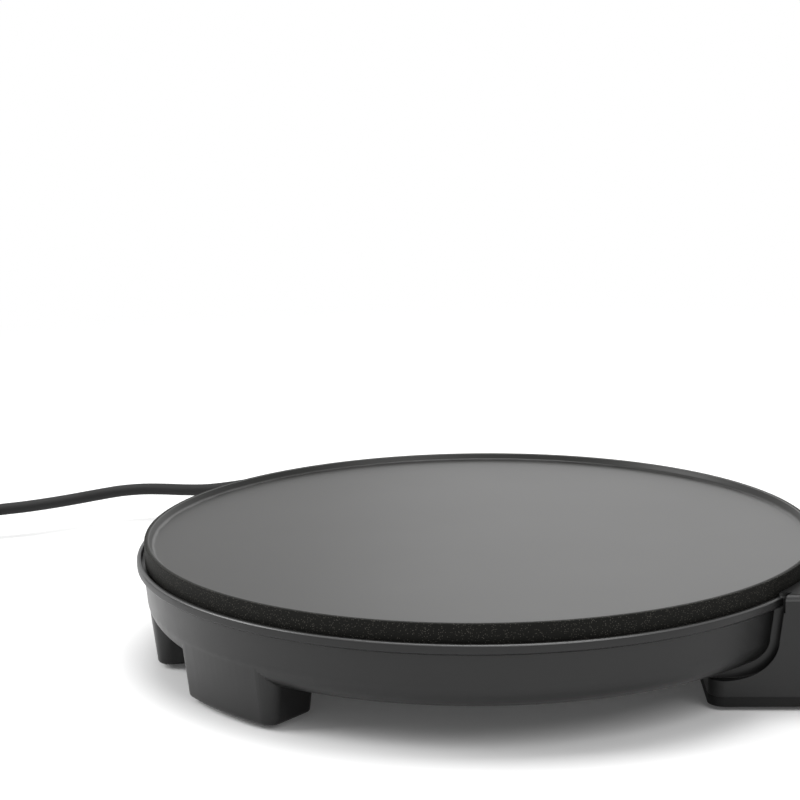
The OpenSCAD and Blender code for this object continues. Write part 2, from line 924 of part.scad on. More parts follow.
// Strap round a tube of diameter d along +X under a sheet at height z, with an ear
module strap(d, z, len, ear) {
    w = d + 0.4;
    difference() {
        union() {
            translate([-len / 2, -w / 2 - 1, z - w - 1])
                cube([len, w + 2, w + 0.8]);
            translate([-len / 2, ear > 0 ? w / 2 : -w / 2 - 9, z - 1.2])
                cube([len, 9, 1]);
        }
        translate([-len / 2 - 1, -w / 2, z - w])
            cube([len + 2, w, w + 1]);
        translate([0, ear * (w / 2 + 5.8), z - 3])
            cylinder(h = 4, d = 3.3);
    }
}

module sensor_clip() {
    on_axis() color("silver")
        translate([bulb_clip_x, 0, 0])
            strap(bulb_d, under_z, 10, 1);
}

fuse_d = 5;
fuse_x = 120;
fuse_y = -26;
fuse_z = shield_z - fuse_d / 2 - 0.2;
module thermal_fuse() {
    on_axis() color("silver")
        translate([fuse_x, fuse_y, fuse_z])
            rotate([0, 90, 0]) {
                cylinder(h = 14, d = fuse_d, $fn = 32);
                translate([0, 0, -5])
                    cylinder(h = 24, d = 1.2, $fn = 24);
            }
}

module fuse_clip() {
    on_axis() color("silver")
        translate([fuse_x + 7, fuse_y, 0]) {
            strap(fuse_d, shield_z, 8, -1);
            // rivet through the clip's ear and the shield
            translate([0, -fuse_d / 2 - 6, shield_z]) {
                translate([0, 0, -2.2])
                    cylinder(h = shield_t + 3.4, d = 3);
                translate([0, 0, -2.2])
                    cylinder(h = 1.05, d = 5);
                translate([0, 0, shield_t + 0.1])
                    cylinder(h = 1.1, d = 5);
            }
        }
}

// ---- Pilot lamps ----
lamp_ys = [-lamp_y, -lamp_y - 24];        // power lamp, then ready lamp
module lamp_lens(y, shade) {
    color(shade) on_panel()
        translate([0, y, 0])
            difference() {
                union() {
                    translate([0, 0, -panel_t - 4])
                        cylinder(h = panel_t + 5, d = lamp_d);
                    rotate_extrude()
                        polygon([
                            [0, 0.02], [lamp_d / 2 + 1.4, 0.02], [lamp_d / 2 + 1.4, 0.8],
                            [lamp_d / 2 + 0.6, 1.5], [lamp_d / 4, 2.1], [0, 2.3]
                        ]);
                    translate([0, 0, -panel_t - 1.4])
                        cylinder(h = 1.2, d = lamp_d + 1);
                }
                translate([0, 0, -panel_t - 5])
                    cylinder(h = panel_t + 5, d = lamp_d - 2);
            }
}

module power_lamp_lens() lamp_lens(lamp_ys[0], "red");
module ready_lamp_lens() lamp_lens(lamp_ys[1], "green");

module lamp_bulbs() {
    color("orange") on_panel()
        for (y = lamp_ys)
            translate([0, y, -panel_t - 12])
                cylinder(h = panel_t + 10, d = lamp_d - 2 - 2 * seat, $fn = 32);
}

// ---- Terminal block ----
block_y = -60;
block_x = box_x - 44;
block_w = 34;
block_d = 18;
block_h = 14;
pole_pitch = 11;
block_z = pad_lift + wall + 0.02;         // block stands on the cover
module terminal_block() {
    on_axis() color("white")
        translate([block_x, block_y, block_z])
            difference() {
                translate([0, -block_w / 2, 0])
                    cube([block_d, block_w, block_h]);
                for (k = [-1 : 1]) {
                    translate([-1, k * pole_pitch, block_h * 0.42])
                        rotate([0, 90, 0])
                            cylinder(h = block_d + 2, d = 4, $fn = 32);
                    translate([block_d / 2, k * pole_pitch, block_h * 0.42])
                        cylinder(h = block_h, d = 4, $fn = 32);
                }
            }
}

module terminal_screws() {
    on_axis() color("silver")
        for (k = [-1 : 1])
            translate([block_x + block_d / 2, block_y + k * pole_pitch, block_z])
                translate([0, 0, block_h * 0.42 + 2])
                    cylinder(h = block_h * 0.58 - 3, d = 3.8, $fn = 32);
}

// ---- Earth ----
earth_r = 122;
earth_az = -32;
earth_z = shield_z - 3;
module earth_boss() {
    at_polar(earth_r, earth_az)
        translate([0, 0, earth_z])
            cylinder(h = under_z - earth_z + eps, d = 8);
}

module earth_screw() {
    on_axis() color("gold")
        at_polar(earth_r, earth_az)
            screw(3, 6, 2, earth_z - 0.8, earth_z + 9);
}

// ---- Wires ----
pole_z = block_z + block_h * 0.42;
pole_y = [for (k = [1 : -1 : -1]) block_y + k * pole_pitch];
block_out = block_x + block_d;            // face of the block towards the panel
tab_z = element_z - element_bend - element_foot - pin_len;
wire_r = 1.3;
function element_foot_at(s) = [
    element_ring_r * cos(element_end) + element_bend * sin(element_end),
    s * (element_ring_r * sin(element_end) - element_bend * cos(element_end)), tab_z
];
function terminal_out(s) = [cos(element_end), s * sin(element_end), 0];

module wire(points, first = undef, last = undef) {
    tube(points, wire_r, 6, up = [0.2, 0.1, 1], first = first, last = last);
}

module wire_live() {
    on_axis() color("sienna")
        wire([
            [block_out - 2.5, pole_y[0], pole_z], [block_out + 4, pole_y[0], pole_z],
            [block_out + 9, pole_y[0] + 2, pole_z + 3], [block_out + 9, -40, pole_z + 8],
            [block_out + 2, -31, pole_z + 14], [thermo_back - 8, -24, panel_z - 2],
            [thermo_back - 13, -15, panel_z + 1], [thermo_back - 11, -9.5, panel_z + 1],
            [thermo_back - 6.1, -9, panel_z + 1]
        ], last = [1, 0, 0]);
}

module wire_heater() {
    foot = element_foot_at(1) + 0.45 * terminal_out(1) - [0, 0, 1.4];
    on_axis() color("firebrick")
        wire([
            foot, foot + 6 * terminal_out(1), foot + [16, 3, 1.5], [dish_r - 28, 21, tab_z + 4],
            [dish_r - 12, 19, tab_z + 6], [dish_r + 2, 16, panel_z + 5],
            [thermo_back - 15, 11, panel_z + 4], [thermo_back - 10, 9, panel_z + 1.5],
            [thermo_back - 6.1, 9, panel_z + 1]
        ], first = terminal_out(1), last = [1, 0, 0]);
}

// From the element through the thermal fuse to the terminal block
module wire_neutral() {
    foot = element_foot_at(-1) + 0.45 * terminal_out(-1) - [0, 0, 1.4];
    on_axis() color("royalblue") {
        wire([
            foot, foot + 3 * terminal_out(-1), foot + [6.5, -3.5, 3],
            [fuse_x - 7.5, fuse_y, fuse_z - 0.5], [fuse_x - 5.1, fuse_y, fuse_z]
        ], first = terminal_out(-1), last = [1, 0, 0]);
        wire([
            [fuse_x + 19.1, fuse_y, fuse_z], [fuse_x + 24, fuse_y, fuse_z],
            [dish_r - 8, -29, fuse_z - 1], [dish_r + 6, -34, fuse_z - 2],
            [block_out - 8, -47, fuse_z - 4], [block_out + 4, -56, pole_z + 14],
            [block_out + 8, -60, pole_z + 6], [block_out + 5, pole_y[1], pole_z + 0.6],
            [block_out - 2.5, pole_y[1], pole_z]
        ], first = [1, 0, 0], last = [-1, 0, 0]);
    }
}

module wire_earth() {
    at = polar(earth_r, earth_az, earth_z - 2.9 - wire_r);
    on_axis() color("limegreen")
        wire([
            at, at + [8, 4, 0], at + [20, 12, -0.5], at + [34, 21, 1],
            [dish_r - 6, -40, at[2] + 2], [dish_r + 6, -46, at[2] + 4],
            [block_out - 6, -58, at[2] + 2], [block_out + 4, -67, pole_z + 12],
            [block_out + 8, -71, pole_z + 5], [block_out + 5, pole_y[2], pole_z + 0.6],
            [block_out - 2.5, pole_y[2], pole_z]
        ], last = [-1, 0, 0]);
}

// The lead's three cores, from the end of its jacket to the block
module lead_cores() {
    on_axis() color("saddlebrown")
        for (k = [0 : 2]) {
            side = cross(inner_end, [0, 0, 1]);
            turn = [-150, 90, -30][k];
            start = inner_route[len(inner_route) - 1]
                + 1.8 * (cos(turn) * side + sin(turn) * [0, 0, 1]);
            wire([
                start + 1 * inner_end, start + 5 * inner_end,
                [block_x - 4, -24 - 4 * k, pole_z + 6 + k], [block_x - 8 - 2 * k, -35 - 6 * k, pole_z + 2],
                [block_x - 7, pole_y[k] + 5, pole_z], [block_x - 3, pole_y[k] + 0.6, pole_z],
                [block_x + 2.5, pole_y[k], pole_z]
            ], first = inner_end, last = [1, 0, 0]);
        }
}

// ---- Mains lead: exit, clamp and strain relief ----
cord_r = cord_d / 2;
exit_z = leg_h + dish_round + 4;
boot_neck_d = cord_d + 5;
out = [cos(exit_az), sin(exit_az), 0];
exit_r = dish_at(exit_z);                 // dish's face at the lead's height
boot_tip = exit_r + 2 + boot_len;

// Draws along the lead's exit: z counts outwards from radius r
module at_exit(r) {
    rotate([0, 0, exit_az])
        translate([r == 0 ? exit_r : r, 0, exit_z])
            rotate([0, 90, 0])
                children();
}

module strain_relief() {
    flange_d = boot_neck_d + 3;
    on_axis() color([0.12, 0.12, 0.12])
        at_exit(0)
            difference() {
                union() {
                    translate([0, 0, 0.9])
                        cylinder(h = 1.1, d = flange_d);
                    translate([0, 0, -wall - 3])
                        cylinder(h = wall + 4, d = boot_neck_d);
                    translate([0, 0, 2 - eps])
                        cylinder(h = boot_len + eps, d1 = boot_neck_d, d2 = cord_d + 2);
                }
                translate([0, 0, -20])
                    cylinder(h = 80, r = cord_r + 0.1);
            }
}

clamp_r = exit_r - 14;
clamp_half = cord_r + 5;
saddle_z = exit_z - cord_r - 0.1;
module clamp_saddle() {
    rotate([0, 0, exit_az])
        translate([clamp_r - 4, -clamp_half - 4, floor_z - 1])
            cube([8, 2 * clamp_half + 8, saddle_z - floor_z + 1]);
}

module clamp_holes() {
    for (s = [1, -1])
        rotate([0, 0, exit_az])
            translate([clamp_r, s * clamp_half, saddle_z - 8])
                cylinder(h = 20, d = 3 + 2 * run_fit);
}

clamp_t = 3;
module cord_clamp() {
    z = exit_z + cord_r + 0.1;
    on_axis() color([0.15, 0.15, 0.15])
        rotate([0, 0, exit_az])
            difference() {
                union() {
                    translate([clamp_r - 3.5, -clamp_half - 3.5, z])
                        cube([7, 2 * clamp_half + 7, clamp_t]);
                    for (s = [1, -1])
                        translate([clamp_r, s * clamp_half, saddle_z])
                            cylinder(h = z - saddle_z + eps, d = 5.5);
                }
                for (s = [1, -1])
                    translate([clamp_r, s * clamp_half, saddle_z - 1])
                        cylinder(h = 20, d = 3.4);
            }
}

module clamp_screws() {
    z = exit_z + cord_r + 0.1 + clamp_t;
    on_axis() color("silver")
        rotate([0, 0, exit_az])
            for (s = [1, -1])
                translate([clamp_r, s * clamp_half, z])
                    rotate([180, 0, 0])
                        screw(3, 6, 2, 0, z - saddle_z + 7);
}

// The lead inside the housing, from the dish's wall to the control box
function polar(r, az, z) = [r * cos(az), r * sin(az), z];
inner_end = [0.3, -0.9, -0.3] / norm([0.3, -0.9, -0.3]);
lead_exit = exit_r * out + [0, 0, exit_z];    // where the lead passes the dish's wall
inner_route = [
    lead_exit, (exit_r - 6) * out + [0, 0, exit_z], (exit_r - 21) * out + [0, 0, exit_z],
    polar(138.5, 114, exit_z - 2.4), polar(131.5, 110.5, exit_z - 6),
    polar(125, 103, floor_z + 6),
    polar(122, 93, floor_z + 5), polar(122, 83, floor_z + 5), polar(122, 73, floor_z + 5),
    polar(123, 63, floor_z + 5), polar(124, 53, floor_z + 5), polar(126, 44, floor_z + 5),
    polar(129, 34, floor_z + 5), polar(134, 25, floor_z + 5.5), polar(142, 17, floor_z + 6.5),
    polar(152, 12.5, floor_z + 6.5), polar(162, 10, floor_z + 6.5), [169.5, 22, floor_z + 4],
    [174.5, 13, floor_z + 1], [175, 3, floor_z - 2]
];
module inner_lead() {
    on_axis() color([0.1, 0.1, 0.1])
        tube(inner_route, cord_r, 10, first = -out, last = inner_end);
}

// The coil: turns in on the upper layer, drops a layer where it reverses, and turns
// out on the lower one; its tie lifts it a little off the table
coil_c = [-330, 133];
coil_turns = 4.17;
coil_pitch = cord_d + 0.6;
coil_out_r = 48;
coil_low = cord_r + 0.15;
coil_az = 118;
coil_mid = coil_turns / 2;
coil_in_r = coil_out_r - coil_pitch * coil_mid;
tie_az = 20;
tie_lift = 1.3;
function ease(t) = t <= 0 ? 0 : t >= 1 ? 1 : t * t * (3 - 2 * t);
function coil_at(u) =
    let (
        a = coil_az + 360 * u,
        r = coil_in_r + coil_pitch * abs(u - coil_mid)
    )
    [
        coil_c[0] + r * cos(a), coil_c[1] + r * sin(a),
        coil_low + tie_lift * max(0, cos(a - tie_az)) ^ 6
            + coil_pitch * (1 - ease((u - coil_mid + 0.25) * 2))
    ];
function heading(a) = [-sin(a), cos(a), 0];
coil_in = heading(coil_az);
coil_exit = heading(coil_az + 360 * coil_turns);
coil_start = coil_at(0) - cord_d * coil_in;
coil_end = coil_at(coil_turns) + cord_d * coil_exit;
coil_steps = 24 * ceil(coil_turns);
coil_route = concat(
    [coil_start],
    [for (i = [0 : coil_steps]) coil_at(coil_turns * i / coil_steps)],
    [coil_end]
);
module cord_coil() {
    on_axis() color([0.15, 0.15, 0.15])
        tube(coil_route, cord_r, 6, first = coil_in, last = coil_exit);
}

// Least gap of the coil to itself, between points more than half a turn apart
coil_gap = min([
    for (i = [0 : 2 : len(coil_route) - 1])
        for (j = [i + 14 : 1 : len(coil_route) - 1])
            norm(coil_route[i] - coil_route[j])
]) - cord_d;
echo(coil_gap = coil_gap);

// The free lead: chosen points behind and beside the housing, about the plate's axis
cord_start = boot_tip * out + [0, 0, exit_z];
free_points = [
    [-96, 204.5, 36], [-103.5, 215.5, 34], [-113, 225.5, 31.3], [-124.5, 234, 28.2],
    [-137.5, 240.5, 25], [-151, 244.5, 22.2], [-165, 246.5, 20.3], [-178.5, 249, 19.6],
    [-192, 252.5, 19.3], [-205.5, 254, 19.1], [-219, 250.5, 18.9], [-232, 242, 18.6],
    [-245, 232.5, 18.3], [-258, 224, 18], [-271, 217, 17.7], [-285, 212.3, 17.2],
    [-297, 208, 16.4], [-309, 202, 15.4], [-322, 194.5, 13.9], [-334, 187, 12.3]
];
free_route = concat(
    [lead_exit, lead_exit + 19 * out, cord_start, cord_start + 12 * out],
    free_points, [coil_start]
);
module cord_free() {
    on_axis() color([0.15, 0.15, 0.15])
        tube(free_route, cord_r, 10, first = out, last = coil_in);
}

tail_points = [
    [-378.3, 113, 4.2], [-378.3, 100, 6], [-378, 88, 9], [-377, 76, 12.6],
    [-376, 64, 15.8], [-375.3, 52, 18]
];
plug_at = [-375, 38, 18.8];
tail_route = concat([coil_end], tail_points, [plug_at]);
module cord_tail() {
    on_axis() color([0.15, 0.15, 0.15])
        tube(tail_route, cord_r, 10, first = coil_exit, last = [0, -1, 0]);
}
echo(lead_length = path_length(free_route) + path_length(coil_route) + path_length(tail_route));

// A band round the coil's turns, drawn square to them
tie_turn = ((tie_az - coil_az) % 360 + 360) % 360 / 360;
tie_r = [
    for (k = [0 : ceil(coil_turns)])
        if (k + tie_turn < coil_turns)
            coil_in_r + coil_pitch * abs(k + tie_turn - coil_mid)
];
module cord_tie() {
    t = 0.9;
    w = 7;
    room = [max(tie_r) - min(tie_r) + cord_d + 2 * seat, coil_pitch + cord_d + 2 * seat];
    on_axis() color([0.2, 0.2, 0.2])
        translate([coil_c[0], coil_c[1], 0])
            rotate([0, 0, tie_az])
                translate([
                    (max(tie_r) + min(tie_r)) / 2, w / 2,
                    coil_low + tie_lift + coil_pitch / 2
                ])
                    rotate([90, 0, 0])
                        linear_extrude(w)
                            difference() {
                                square([room[0] + 2 * t, room[1] + 2 * t], center = true);
                                square(room, center = true);
                            }
}

// ---- Plug: two round pins and side earth contacts ----
plug_d = 37;
plug_len = 52;
pin_d = 4.8;
pin_pitch = 19;
module at_plug() {
    on_axis()
        translate(plug_at)
            rotate([90, 0, 0])
                children();
}

module plug_body() {
    boot = 22;
    color([0.12, 0.12, 0.12]) at_plug()
        difference() {
            rotate_extrude()
                polygon([
                    [0, 0.02], [cord_r + 1, 0.02], [cord_r + 3, boot], [9, boot],
                    [11, boot + 4], [12, boot + 20], [plug_d / 2 - 2, boot + 29],
                    [plug_d / 2, boot + 33], [plug_d / 2, boot + plug_len], [0, boot + plug_len]
                ]);
            for (s = [1, -1])
                translate([-4, s * (plug_d / 2 - 2.2) - 2.5, boot + plug_len - 16])
                    cube([8, 5, 17]);
            for (s = [1, -1])
                translate([s * pin_pitch / 2, 0, boot + plug_len - 12])
                    cylinder(h = 13, d = pin_d + 2 * run_fit, $fn = 32);
        }
}

module plug_pins() {
    boot = 22;
    color("silver") at_plug()
        for (s = [1, -1])
            translate([s * pin_pitch / 2, 0, boot + plug_len - 11])
                rotate_extrude($fn = 32)
                    polygon([
                        [0, 0], [pin_d / 2, 0], [pin_d / 2, 28.5], [pin_d / 2 - 1, 30], [0, 30]
                    ]);
}

module plug_earth_clips() {
    boot = 22;
    color("goldenrod") at_plug()
        for (s = [1, -1])
            translate([-3.5, s * (plug_d / 2 - 3.7) - 0.6, boot + plug_len - 15.8])
                cube([7, 1.2, 15]);
}

griddle_plate();
heating_element();
element_clips();
clip_screws();
heat_shield();
shield_spacers();
plate_screws();
base_housing();
box_cover();
cover_screws();
rubber_feet();
control_knob();
knob_pointer();
thermostat_shaft();
thermostat_body();
thermostat_screws();
thermostat_sensor();
sensor_clip();
thermal_fuse();
fuse_clip();
power_lamp_lens();
ready_lamp_lens();
lamp_bulbs();
terminal_block();
terminal_screws();
earth_screw();
inner_lead();
wire_live();
wire_heater();
wire_neutral();
wire_earth();
lead_cores();
cord_clamp();
clamp_screws();
strain_relief();
cord_free();
cord_coil();
cord_tail();
cord_tie();
plug_body();
plug_pins();
plug_earth_clips();
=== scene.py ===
# %% [markdown]
# # An electric crepe maker, dressed in Blender
# The solids of this appliance come packed from its CAD source: a cast plate on a low
# moulded housing, which stands on hollow legs and on a control box at one side, with a
# mains lead that leaves at the back. Here they get their surfaces, their light and a
# camera, and the lead, which a plain solid shows too coarsely, is made again as a finer
# surface. Everything is in metres, and the table is at z = 0.

# %% Load the solids
import json
import math

import bpy
import numpy as np
from mathutils import Matrix


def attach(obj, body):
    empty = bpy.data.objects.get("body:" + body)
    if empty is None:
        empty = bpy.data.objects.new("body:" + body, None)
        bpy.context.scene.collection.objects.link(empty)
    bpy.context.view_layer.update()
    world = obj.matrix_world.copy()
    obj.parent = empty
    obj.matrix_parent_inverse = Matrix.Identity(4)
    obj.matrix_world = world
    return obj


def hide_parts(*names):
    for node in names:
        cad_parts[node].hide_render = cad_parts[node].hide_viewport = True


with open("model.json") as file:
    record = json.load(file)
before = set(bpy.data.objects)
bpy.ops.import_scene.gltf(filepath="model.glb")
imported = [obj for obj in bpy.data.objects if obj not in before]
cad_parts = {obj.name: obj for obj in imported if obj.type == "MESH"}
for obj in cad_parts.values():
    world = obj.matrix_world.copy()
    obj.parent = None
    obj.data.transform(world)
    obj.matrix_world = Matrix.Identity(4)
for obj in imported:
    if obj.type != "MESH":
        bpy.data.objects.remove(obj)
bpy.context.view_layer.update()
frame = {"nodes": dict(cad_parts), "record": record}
nodes = frame["nodes"]

# %% [markdown]
# ## The object's main sizes
# Millimetres, as a maker would write them on a drawing, about the vertical axis of the
# round plate. That axis stands a little left of the origin, because the origin is the
# middle of the appliance's footprint, knob included.

# %% Sizes
MM = 0.001
plate_x = -30.5 * MM          # the plate's axis in the object's frame
plate_r = 164.5 * MM


def place(points):
    """Points in millimetres about the plate's axis, as metres in the object's frame."""
    out = np.asarray(points, dtype=float) * MM
    out[..., 0] += plate_x
    return out


print("plate: radius", plate_r, "m, axis at x =", plate_x, "m")

# %% [markdown]
# ## The camera
# The photograph was taken from in front and a little above, with a long lens: the far
# and the near rim of the plate differ little in width. A camera could be aimed by a
# constraint, but the small tilt of the picture would then need a second one. Its turn is
# written here as three angles instead: to the side, down, and the tilt of the whole
# picture. Its axes follow from them, and a camera looks along its own -Z with +Y up.


# %% Camera
def stand(across, upward, backward, where):
    """The matrix of an object that stands at a point, its X, Y and Z along three
    directions: they are the first three columns, and the point is the last."""
    rows = np.eye(4)
    rows[:3] = np.column_stack([across, upward, backward, where])
    return Matrix(rows.tolist())


yaw, pitch, roll = np.radians([-2.063, 11.235, -0.911])
camera_spot = place([0.0, -1054.55, 333.52])
lens_mm = 99.0
sensor_mm = 36.0

ahead = np.array([math.sin(yaw) * math.cos(pitch), math.cos(yaw) * math.cos(pitch),
                  -math.sin(pitch)])
level = np.array([math.cos(yaw), -math.sin(yaw), 0.0])
above = np.cross(level, ahead)
right = math.cos(roll) * level + math.sin(roll) * above
up = math.cos(roll) * above - math.sin(roll) * level

camera_data = bpy.data.cameras.new("camera")
camera_data.sensor_width = sensor_mm
camera_data.lens = lens_mm
camera_data.clip_end = 50.0
camera = bpy.data.objects.new("camera", camera_data)
bpy.context.scene.collection.objects.link(camera)
camera.matrix_world = stand(right, up, -ahead, camera_spot)
bpy.context.scene.camera = camera
print("camera at", np.round(camera_spot, 3), "looking along", np.round(ahead, 3))

# %% [markdown]
# ## The mains lead
# The lead is one round jacketed cable, 7 mm thick and about 1.5 m long. It leaves the
# housing at the back left, comes down behind the plate, passes the picture's left edge,
# and the rest is wound into a small coil with the plug beside it.
# A curve object with a round bevel could draw it. Here it is a circle carried along a
# path, worked out as whole arrays, because that gives the path's length as well. The
# path runs through listed points, about a diameter or two apart.

# %% Where the lead leaves the housing
lead_d = 7.0                  # millimetres, as all of the route
exit_az = math.radians(115.0)
lead_out = np.array([math.cos(exit_az), math.sin(exit_az), 0.0])
exit_z = 37.0
wall_foot_r = 163.9           # the dish wall's radius at its foot
wall_draft = 1.3              # how much wider it is at its top
wall_height = 12.7
exit_above_foot = 4
wall_at_exit = wall_foot_r + wall_draft * exit_above_foot / wall_height
flange = 2                    # the strain relief's flange on the wall
boot_length = 36              # and its taper behind it
boot_tip = wall_at_exit + flange + boot_length
exit_point = wall_at_exit * lead_out + [0, 0, exit_z]
boot_point = boot_tip * lead_out + [0, 0, exit_z]
print("lead leaves the wall at", np.round(exit_point, 1), "mm from the plate's axis")

# %% Points of the free stretch and of the tail to the plug
free_points = np.array([
    [-96, 204.5, 36], [-103.5, 215.5, 34], [-113, 225.5, 31.3], [-124.5, 234, 28.2],
    [-137.5, 240.5, 25], [-151, 244.5, 22.2], [-165, 246.5, 20.3], [-178.5, 249, 19.6],
    [-192, 252.5, 19.3], [-205.5, 254, 19.1], [-219, 250.5, 18.9], [-232, 242, 18.6],
    [-245, 232.5, 18.3], [-258, 224, 18], [-271, 217, 17.7], [-285, 212.3, 17.2],
    [-297, 208, 16.4], [-309, 202, 15.4], [-322, 194.5, 13.9], [-334, 187, 12.3],
])
tail_points = np.array([
    [-378.3, 113, 4.2], [-378.3, 100, 6], [-378, 88, 9], [-377, 76, 12.6],
    [-376, 64, 15.8], [-375.3, 52, 18], [-375, 38, 18.8],
])
print("free stretch:", len(free_points), "points, tail:", len(tail_points), "points")


# %% The coil
def coil_points(turns=4.17, pitch=7.6, outer=48.0, start_az=118.0):
    """The coil's centreline: the radius shrinks by one pitch a turn to the middle of
    the wind and grows again, while the height eases down from the upper layer to the
    lower one over half a turn. Near the tie it lies a little higher."""
    centre_x, centre_y = -330, 133
    low_z = 3.65              # the lower layer's centreline above the table
    tie_az = np.radians(20)
    tie_lift = 1.3
    steps = 24 * 5
    u = np.linspace(0, turns, steps + 1)
    middle = turns / 2
    az = np.radians(start_az + 360 * u)
    r = outer - pitch * middle + pitch * np.abs(u - middle)
    t = np.clip((u - middle + 0.25) * 2, 0, 1)
    lift = tie_lift * np.maximum(0, np.cos(az - tie_az)) ** 6
    z = low_z + lift + pitch * (1 - t * t * (3 - 2 * t))
    return np.stack([centre_x + r * np.cos(az), centre_y + r * np.sin(az), z], -1), az


coil, coil_az = coil_points()
coil_in = np.array([-math.sin(coil_az[0]), math.cos(coil_az[0]), 0])
coil_out = np.array([-math.sin(coil_az[-1]), math.cos(coil_az[-1]), 0])
in_boot = 19 * lead_out
past_boot = 12 * lead_out
route = np.vstack([
    exit_point, exit_point + in_boot, boot_point, boot_point + past_boot, free_points,
    coil[:1] - lead_d * coil_in, coil[::3], coil[-1:] + lead_d * coil_out, tail_points,
])
print("lead: route of", len(route), "points")

# %% [markdown]
# ## The lead's surface
# A smooth curve through the points comes first, so that the jacket has no kinks. The
# circle then stands square to it. Its side direction is always level, which a lead that
# never runs straight up allows, so the jacket doesn't twist.


# %% A mesh through a grid of points
def surface(name, grid, close_v=False, cap=False):
    """Mesh object through a grid of points (rows u, columns v): each face joins four
    neighbours. close_v joins the last column to the first, and cap fills both ends."""
    rows, cols = grid.shape[:2]
    i = np.arange(rows - 1)[:, None]
    j = np.arange(cols if close_v else cols - 1)[None, :]
    beside = (j + 1) % cols
    corners = [i * cols + j, i * cols + beside, (i + 1) * cols + beside, (i + 1) * cols + j]
    faces = np.stack(corners, -1).reshape(-1, 4).tolist()
    if cap:
        ring = np.arange(cols)
        faces.append(ring[::-1].tolist())
        faces.append(((rows - 1) * cols + ring).tolist())
    mesh = bpy.data.meshes.new(name)
    mesh.from_pydata(grid.reshape(-1, 3).tolist(), [], faces)
    mesh.validate()
    mesh.shade_smooth()
    piece = bpy.data.objects.new(name, mesh)
    bpy.context.scene.collection.objects.link(piece)
    return piece


# %% A curve through points, and a circle along it
def smooth_curve(points, per_span=4):
    """Catmull-Rom curve: between two points, a cubic whose end slopes are half the
    step from the point before to the point after."""
    p = np.vstack([2 * points[:1] - points[1:2], points, 2 * points[-1:] - points[-2:-1]])
    t = np.linspace(0, 1, per_span, endpoint=False)[None, :, None]
    a, b, c, d = (p[k:len(p) - 3 + k, None, :] for k in range(4))
    spans = 0.5 * (2 * b + (c - a) * t + (2 * a - 5 * b + 4 * c - d) * t ** 2
                   + (3 * b - a - 3 * c + d) * t ** 3)
    return np.vstack([spans.reshape(-1, 3), points[-1:]])


def tube_grid(path, radius, sides):
    """A circle of the given radius at each point of the path, square to it: the point,
    plus the radius times cosine along the level side and sine along the upright one."""
    along = np.gradient(path, axis=0)
    along /= np.linalg.norm(along, axis=1, keepdims=True)
    side = np.cross(along, [0.0, 0.0, 1.0])
    side /= np.linalg.norm(side, axis=1, keepdims=True)
    upright = np.cross(side, along)
    angle = np.linspace(0, 2 * np.pi, sides, endpoint=False)
    return path[:, None, :] + radius * (
        np.cos(angle)[None, :, None] * side[:, None, :]
        + np.sin(angle)[None, :, None] * upright[:, None, :])


# %% The lead
lead_path = place(smooth_curve(route))
lead_sides = 16
lead_grid = tube_grid(lead_path, lead_d / 2 * MM, lead_sides)
lead = surface("mains_lead", lead_grid, close_v=True, cap=True)
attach(lead, "base")
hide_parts("cord_free", "cord_coil", "cord_tail")
place(exit_point).tolist()

# %% [markdown]
# ## Material nodes
# Materials can be wired by hand in the shader editor, or written out. They are written
# here, so that every number can be read and changed. One function adds a node with its
# settings and the links that come into it. Colours are written as a screen shows them,
# and another function turns them to the linear values that the renderer works in.

# %% Helpers for nodes
NUMBER_A, NUMBER_B = 2, 3     # a Mix node's sockets when it mixes numbers
COLOUR_A, COLOUR_B = 6, 7     # and when it mixes colours


def linear(code):
    """A colour written as #rrggbb on a screen, as four linear values."""
    c = np.array([int(code[i:i + 2], 16) for i in (1, 3, 5)]) / 255.0
    c = np.where(c <= 0.04045, c / 12.92, ((c + 0.055) / 1.055) ** 2.4)
    return (*[float(v) for v in c], 1.0)


def add(tree, kind, links=None, **settings):
    """Adds a node, with its settings, and its inputs as values or as other outputs."""
    made = tree.nodes.new(kind)
    for name, value in settings.items():
        setattr(made, name, value)
    for name, value in (links or {}).items():
        if isinstance(value, bpy.types.NodeSocket):
            tree.links.new(value, made.inputs[name])
        else:
            made.inputs[name].default_value = value
    return made


def empty_tree(owner):
    """The node tree of a material or a world, with nothing in it."""
    owner.use_nodes = True
    owner.node_tree.nodes.clear()
    return owner.node_tree


def seen_rays(tree):
    """1 for a ray from the camera, or by way of a mirror or glass, and 0 for one that
    only carries light: the largest of three flags."""
    rays = add(tree, "ShaderNodeLightPath")
    direct = add(tree, "ShaderNodeMath", {0: rays.outputs["Is Camera Ray"],
                                          1: rays.outputs["Is Glossy Ray"]},
                 operation="MAXIMUM")
    seen = add(tree, "ShaderNodeMath", {0: direct.outputs[0],
                                        1: rays.outputs["Is Transmission Ray"]},
               operation="MAXIMUM")
    return seen.outputs[0]


white = linear("#ffffff")
print("white in linear values:", white)

# %% [markdown]
# ## The floor
# The photograph has the even white ground of a product picture, with a soft shadow on
# it. A floor that is merely pale comes out grey where little light falls. More lamp light
# would wash out the object, so the floor itself is lifted, and only where it is seen: it
# glows faintly everywhere, and from about half a metre out it fades to pure white. Near
# the object it stays a real pale surface, which takes the shadow.

# %% Floor
floor_corners = [[[-3, -3, 0], [3, -3, 0]], [[-3, 5, 0], [3, 5, 0]]]
floor_glow = 0.05
white_from = 0.45             # metres from the origin where the fade to white starts
white_past = 1.1              # and where it ends

